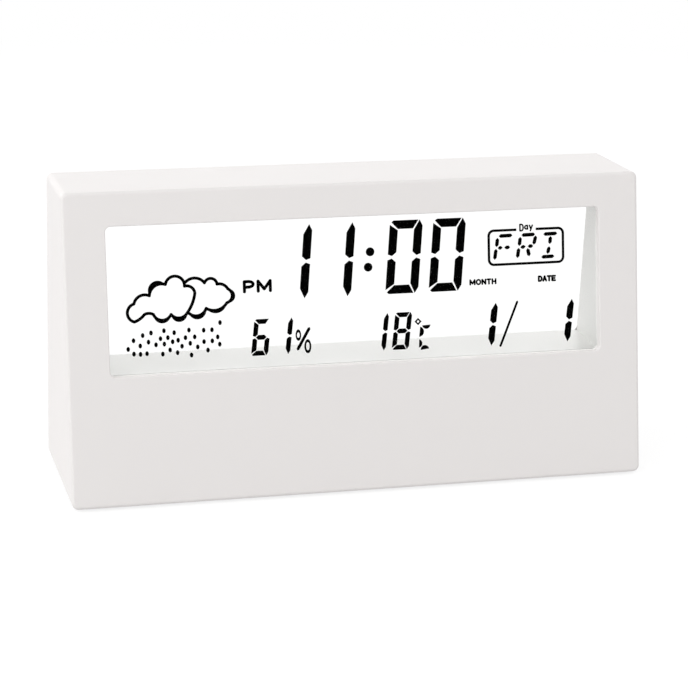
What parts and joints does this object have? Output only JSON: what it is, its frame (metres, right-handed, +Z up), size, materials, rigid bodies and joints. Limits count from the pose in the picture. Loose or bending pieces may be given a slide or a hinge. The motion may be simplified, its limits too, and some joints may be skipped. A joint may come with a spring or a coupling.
{
  "type": "thermometer hygrometer clock",
  "caption": "Free-standing wedge-shaped desk clock with a see-through liquid crystal display of time, date, humidity, temperature and weather, rear keys and a battery door underneath.",
  "frame": {"origin": "on the table under the middle of the clock, at the middle of its box's underside", "axes": "+X to the right of a person who reads the display, -Y towards that person, +Z up"},
  "size_m": [0.134, 0.0448, 0.0706],
  "materials": {
    "case_plastic": "fine matt moulded texture",
    "cover_plastic": "fine matt moulded texture",
    "tunnel_plastic": "smooth moulded",
    "door_plastic": "fine matt moulded texture",
    "button_plastic": "satin",
    "foot_rubber": "matt",
    "display_glass": "clear",
    "polariser_film": "clear",
    "display_ink": "flat black",
    "tape": "matt",
    "seal": "semi-clear",
    "silicone": "matt",
    "board": "solder mask",
    "black_epoxy": "glossy",
    "screw_steel": "zinc plated",
    "contact_steel": "nickel plated",
    "component_metal": "polished",
    "capacitor_ceramic": "matt",
    "black_plastic": "satin",
    "light_plastic": "frosted clear",
    "lamp_plastic": "clear",
    "cell_jacket": "shrink film",
    "wire_red": "smooth",
    "wire_black": "smooth",
    "wire_white": "smooth",
    "ribbon": "satin"
  },
  "bodies": {
    "root": {"front_case": "case_plastic", "rear_cover": "cover_plastic", "tunnel_frame": "tunnel_plastic", "feet": "foot_rubber", "case_screws": "screw_steel", "frame_screws": "screw_steel", "board_screws": "screw_steel", "key_board_screws": "screw_steel", "display_tape": "tape", "front_polariser": "polariser_film", "front_glass": "display_glass", "glass_seal": "seal", "rear_glass": "display_glass", "rear_polariser": "polariser_film", "time_digits": "display_ink", "climate_digits": "display_ink", "date_digits": "display_ink", "weekday": "display_ink", "weather_sign": "display_ink", "zebra_strip": "silicone", "main_board": "board", "chip_cover": "black_epoxy", "clock_crystal": "component_metal", "capacitors": "capacitor_ceramic", "light_board": "board", "lamps": "lamp_plastic", "light_diffuser": "light_plastic", "light_wire": "wire_white", "key_board": "board", "key_switches": "black_plastic", "buzzer": "black_plastic", "climate_sensor": "black_plastic", "board_cable": "ribbon", "battery_tray": "black_plastic", "battery_cell_1": "cell_jacket", "battery_cell_2": "cell_jacket", "battery_cell_3": "cell_jacket", "positive_contact": "contact_steel", "negative_contact": "contact_steel", "left_link": "contact_steel", "right_link": "contact_steel", "positive_wire": "wire_red", "negative_wire": "wire_black"},
    "battery_door": {"battery_door": "door_plastic"},
    "mode_button": {"mode_button": "button_plastic", "mode_plunger": "black_plastic"},
    "set_button": {"set_button": "button_plastic", "set_plunger": "black_plastic"},
    "up_button": {"up_button": "button_plastic", "up_plunger": "black_plastic"},
    "down_button": {"down_button": "button_plastic", "down_plunger": "black_plastic"},
    "light_button": {"light_button": "button_plastic", "light_plunger": "black_plastic"}
  },
  "joints": [
    {"name": "battery_door_slide", "type": "slide", "parent": "root", "child": "battery_door", "axis": [0, 1, 0], "range_m": [0, 0.03]},
    {"name": "mode_press", "type": "slide", "parent": "root", "child": "mode_button", "axis": [0, -0.9903, -0.1392], "range_m": [0, 0.0005], "stiffness_N_per_m": 400},
    {"name": "set_press", "type": "slide", "parent": "root", "child": "set_button", "axis": [0, -0.9903, -0.1392], "range_m": [0, 0.0005], "stiffness_N_per_m": 400},
    {"name": "up_press", "type": "slide", "parent": "root", "child": "up_button", "axis": [0, -0.9903, -0.1392], "range_m": [0, 0.0005], "stiffness_N_per_m": 400},
    {"name": "down_press", "type": "slide", "parent": "root", "child": "down_button", "axis": [0, -0.9903, -0.1392], "range_m": [0, 0.0005], "stiffness_N_per_m": 400},
    {"name": "light_press", "type": "slide", "parent": "root", "child": "light_button", "axis": [0, -0.9903, -0.1392], "range_m": [0, 0.0005], "stiffness_N_per_m": 400}
  ]
}
